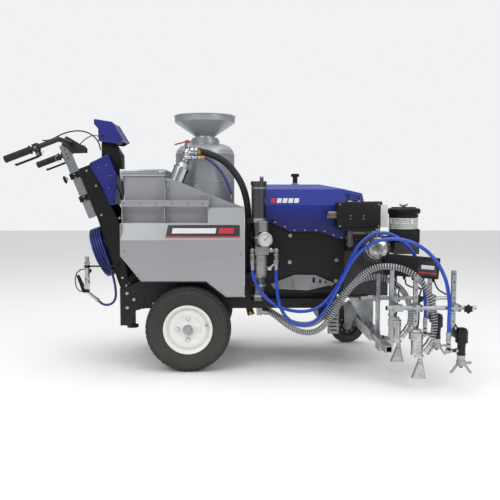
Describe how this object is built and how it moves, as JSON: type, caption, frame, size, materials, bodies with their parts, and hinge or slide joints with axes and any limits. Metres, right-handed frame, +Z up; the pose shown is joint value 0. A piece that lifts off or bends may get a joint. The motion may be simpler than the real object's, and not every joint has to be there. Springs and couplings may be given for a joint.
{
  "type": "line striping machine",
  "caption": "Walk-behind road line striper: wheeled frame, grey body with hopper and bead tank, engine under a hood, and a sliding rack of paint and bead guns.",
  "frame": {"origin": "on the floor, under the middle of the machine's outline seen from above", "axes": "+X towards the gun end, +Z up, and the guns' side faces -Y"},
  "size_m": [2.1286, 1.078, 1.234],
  "materials": {
    "black_steel": "satin powder coat",
    "grey_paint": "satin paint",
    "blue_paint": "gloss paint",
    "tyre": "matte",
    "rim": "gloss paint",
    "zinc": "zinc plated",
    "steel": "brushed",
    "chrome": "polished",
    "aluminium": "cast",
    "black_plastic": "moulded",
    "red_plastic": "dipped",
    "white_plastic": "moulded",
    "clear_plastic": "translucent",
    "black_rubber": "matte",
    "blue_hose": "gloss",
    "clear_hose": "translucent",
    "tread_plate": "chequered"
  },
  "bodies": {
    "frame": {"chassis_frame": "black_steel", "frame_panels": "black_steel", "body_shell": "grey_paint", "hopper": "grey_paint", "bead_tank": "grey_paint", "neck_valve": "chrome", "pump_cylinder": "steel", "filter_manifold": "aluminium", "pressure_gauge": "chrome", "engine_hood": "blue_paint", "side_panel": "black_steel", "cover_bolts": "zinc", "engine_block": "aluminium", "muffler": "black_steel", "fuel_tank": "white_plastic", "air_bowl": "clear_plastic", "footboard": "grey_paint", "control_box": "black_plastic", "arm_sleeve": "zinc", "console_column": "black_steel", "console_cover": "blue_paint", "hose_coil": "blue_hose", "spray_gun": "chrome", "suction_hose": "black_rubber", "paint_hose_near": "blue_hose", "paint_hose_far": "blue_hose", "bead_hose_near": "clear_hose", "bead_hose_far": "clear_hose"},
    "stand": {"stand_leg": "black_steel"},
    "wheel_near": {"tyre_near": "tyre", "rim_near": "rim"},
    "wheel_far": {"tyre_far": "tyre", "rim_far": "rim"},
    "caster_fork": {"caster_fork": "zinc"},
    "caster_wheel": {"caster_wheel": "black_rubber"},
    "lid": {"hopper_lid": "tread_plate"},
    "funnel": {"tank_funnel": "grey_paint"},
    "valve_handle": {"valve_handle": "red_plastic"},
    "needle": {"gauge_needle": "black_plastic"},
    "drain_lever": {"drain_lever": "chrome"},
    "breather_cap": {"breather_cap": "black_plastic"},
    "air_cap": {"air_cap": "black_plastic"},
    "pedal": {"foot_pedal": "zinc"},
    "rack": {"gun_arm": "zinc", "gun_bars": "zinc", "gun_posts": "zinc", "paint_guns": "black_steel", "bead_guns": "aluminium"},
    "tip_guard_near": {"tip_guard_near": "zinc"},
    "tip_guard_far": {"tip_guard_far": "zinc"},
    "knob_near": {"knob_near": "black_plastic"},
    "knob_far": {"knob_far": "black_plastic"},
    "display": {"display_hood": "blue_paint"},
    "handle": {"handle_stem": "zinc", "handlebar": "black_steel", "grips": "black_rubber"},
    "brake_lever": {"brake_lever": "black_plastic"},
    "throttle_lever": {"throttle_lever": "black_plastic"},
    "stem_knob": {"stem_knob": "black_plastic"},
    "spray_trigger": {"spray_trigger": "black_plastic"}
  },
  "joints": [
    {"name": "near_wheel_spin", "type": "hinge", "parent": "frame", "child": "wheel_near", "pos_m": [-0.184, -0.162, 0.203], "axis": [0, 1, 0], "continuous": true},
    {"name": "far_wheel_spin", "type": "hinge", "parent": "frame", "child": "wheel_far", "pos_m": [-0.184, 0.482, 0.203], "axis": [0, 1, 0], "continuous": true},
    {"name": "caster_swivel", "type": "hinge", "parent": "frame", "child": "caster_fork", "pos_m": [0.71, 0.445, 0.25], "axis": [0, 0, 1], "continuous": true},
    {"name": "caster_spin", "type": "hinge", "parent": "caster_fork", "child": "caster_wheel", "pos_m": [0.67, 0.445, 0.1], "axis": [0, 1, 0], "continuous": true},
    {"name": "stand_slide", "type": "slide", "parent": "frame", "child": "stand", "axis": [0, 0, -1], "range_m": [0, 0.08]},
    {"name": "lid_hinge", "type": "hinge", "parent": "frame", "child": "lid", "pos_m": [-0.297, 0.16, 0.928], "axis": [0, 1, 0], "range_deg": [0, 68]},
    {"name": "funnel_lift", "type": "slide", "parent": "frame", "child": "funnel", "axis": [0, 0, 1], "range_m": [0, 0.15]},
    {"name": "valve_turn", "type": "hinge", "parent": "frame", "child": "valve_handle", "pos_m": [-0.192, -0.04, 1.09], "axis": [0, 0, 1], "range_deg": [0, 90]},
    {"name": "needle_swing", "type": "hinge", "parent": "frame", "child": "needle", "pos_m": [0.177, -0.22, 0.626], "axis": [0, 1, 0], "range_deg": [0, 180]},
    {"name": "drain_turn", "type": "hinge", "parent": "frame", "child": "drain_lever", "pos_m": [0.199, -0.206, 0.49], "axis": [0, 1, 0], "range_deg": [-65, 0]},
    {"name": "breather_turn", "type": "hinge", "parent": "frame", "child": "breather_cap", "pos_m": [0.338, 0.06, 0.93], "axis": [0, 0, 1], "continuous": true},
    {"name": "air_cap_turn", "type": "hinge", "parent": "frame", "child": "air_cap", "pos_m": [0.875, 0.01, 0.75], "axis": [0, 0, 1], "continuous": true},
    {"name": "pedal_press", "type": "hinge", "parent": "frame", "child": "pedal", "pos_m": [0.51, -0.125, 0.285], "axis": [1, 0, 0], "range_deg": [0, 22], "stiffness_Nm_per_rad": 8},
    {"name": "rack_slide", "type": "slide", "parent": "frame", "child": "rack", "axis": [0, -1, 0], "range_m": [-0.035, 0.12], "deforming": ["paint_hose_near", "paint_hose_far", "bead_hose_near", "bead_hose_far"]},
    {"name": "near_guard_turn", "type": "hinge", "parent": "rack", "child": "tip_guard_near", "pos_m": [1.005, -0.5, 0.1], "axis": [0, 0, 1], "range_deg": [0, 180]},
    {"name": "far_guard_turn", "type": "hinge", "parent": "rack", "child": "tip_guard_far", "pos_m": [0.985, -0.22, 0.112], "axis": [0, 0, 1], "range_deg": [0, 180]},
    {"name": "near_knob_turn", "type": "hinge", "parent": "rack", "child": "knob_near", "pos_m": [1.02, -0.52, 0.353], "axis": [0, 1, 0], "continuous": true},
    {"name": "far_knob_turn", "type": "hinge", "parent": "rack", "child": "knob_far", "pos_m": [0.89, -0.24, 0.353], "axis": [0, 1, 0], "continuous": true},
    {"name": "display_tilt", "type": "hinge", "parent": "frame", "child": "display", "pos_m": [-0.623, 0.16, 1.128], "axis": [0, 1, 0], "range_deg": [-12, 15]},
    {"name": "handle_slide", "type": "slide", "parent": "frame", "child": "handle", "axis": [-0.3665, 0, 0.9304], "range_m": [-0.03, 0.1]},
    {"name": "brake_pull", "type": "hinge", "parent": "handle", "child": "brake_lever", "pos_m": [-0.89404, -0.09, 1.02719], "axis": [0, 1, 0], "range_deg": [0, 8], "stiffness_Nm_per_rad": 3},
    {"name": "throttle_pull", "type": "hinge", "parent": "handle", "child": "throttle_lever", "pos_m": [-0.89404, 0.41, 1.02719], "axis": [0, 1, 0], "range_deg": [0, 8], "stiffness_Nm_per_rad": 3},
    {"name": "stem_knob_turn", "type": "hinge", "parent": "frame", "child": "stem_knob", "pos_m": [-0.82882, 0.16, 0.91767], "axis": [-0.9304, 0, -0.3665], "continuous": true},
    {"name": "spray_trigger_pull", "type": "hinge", "parent": "frame", "child": "spray_trigger", "pos_m": [-0.708, -0.005, 0.362], "axis": [0, 1, 0], "range_deg": [0, 18], "stiffness_Nm_per_rad": 0.5}
  ]
}
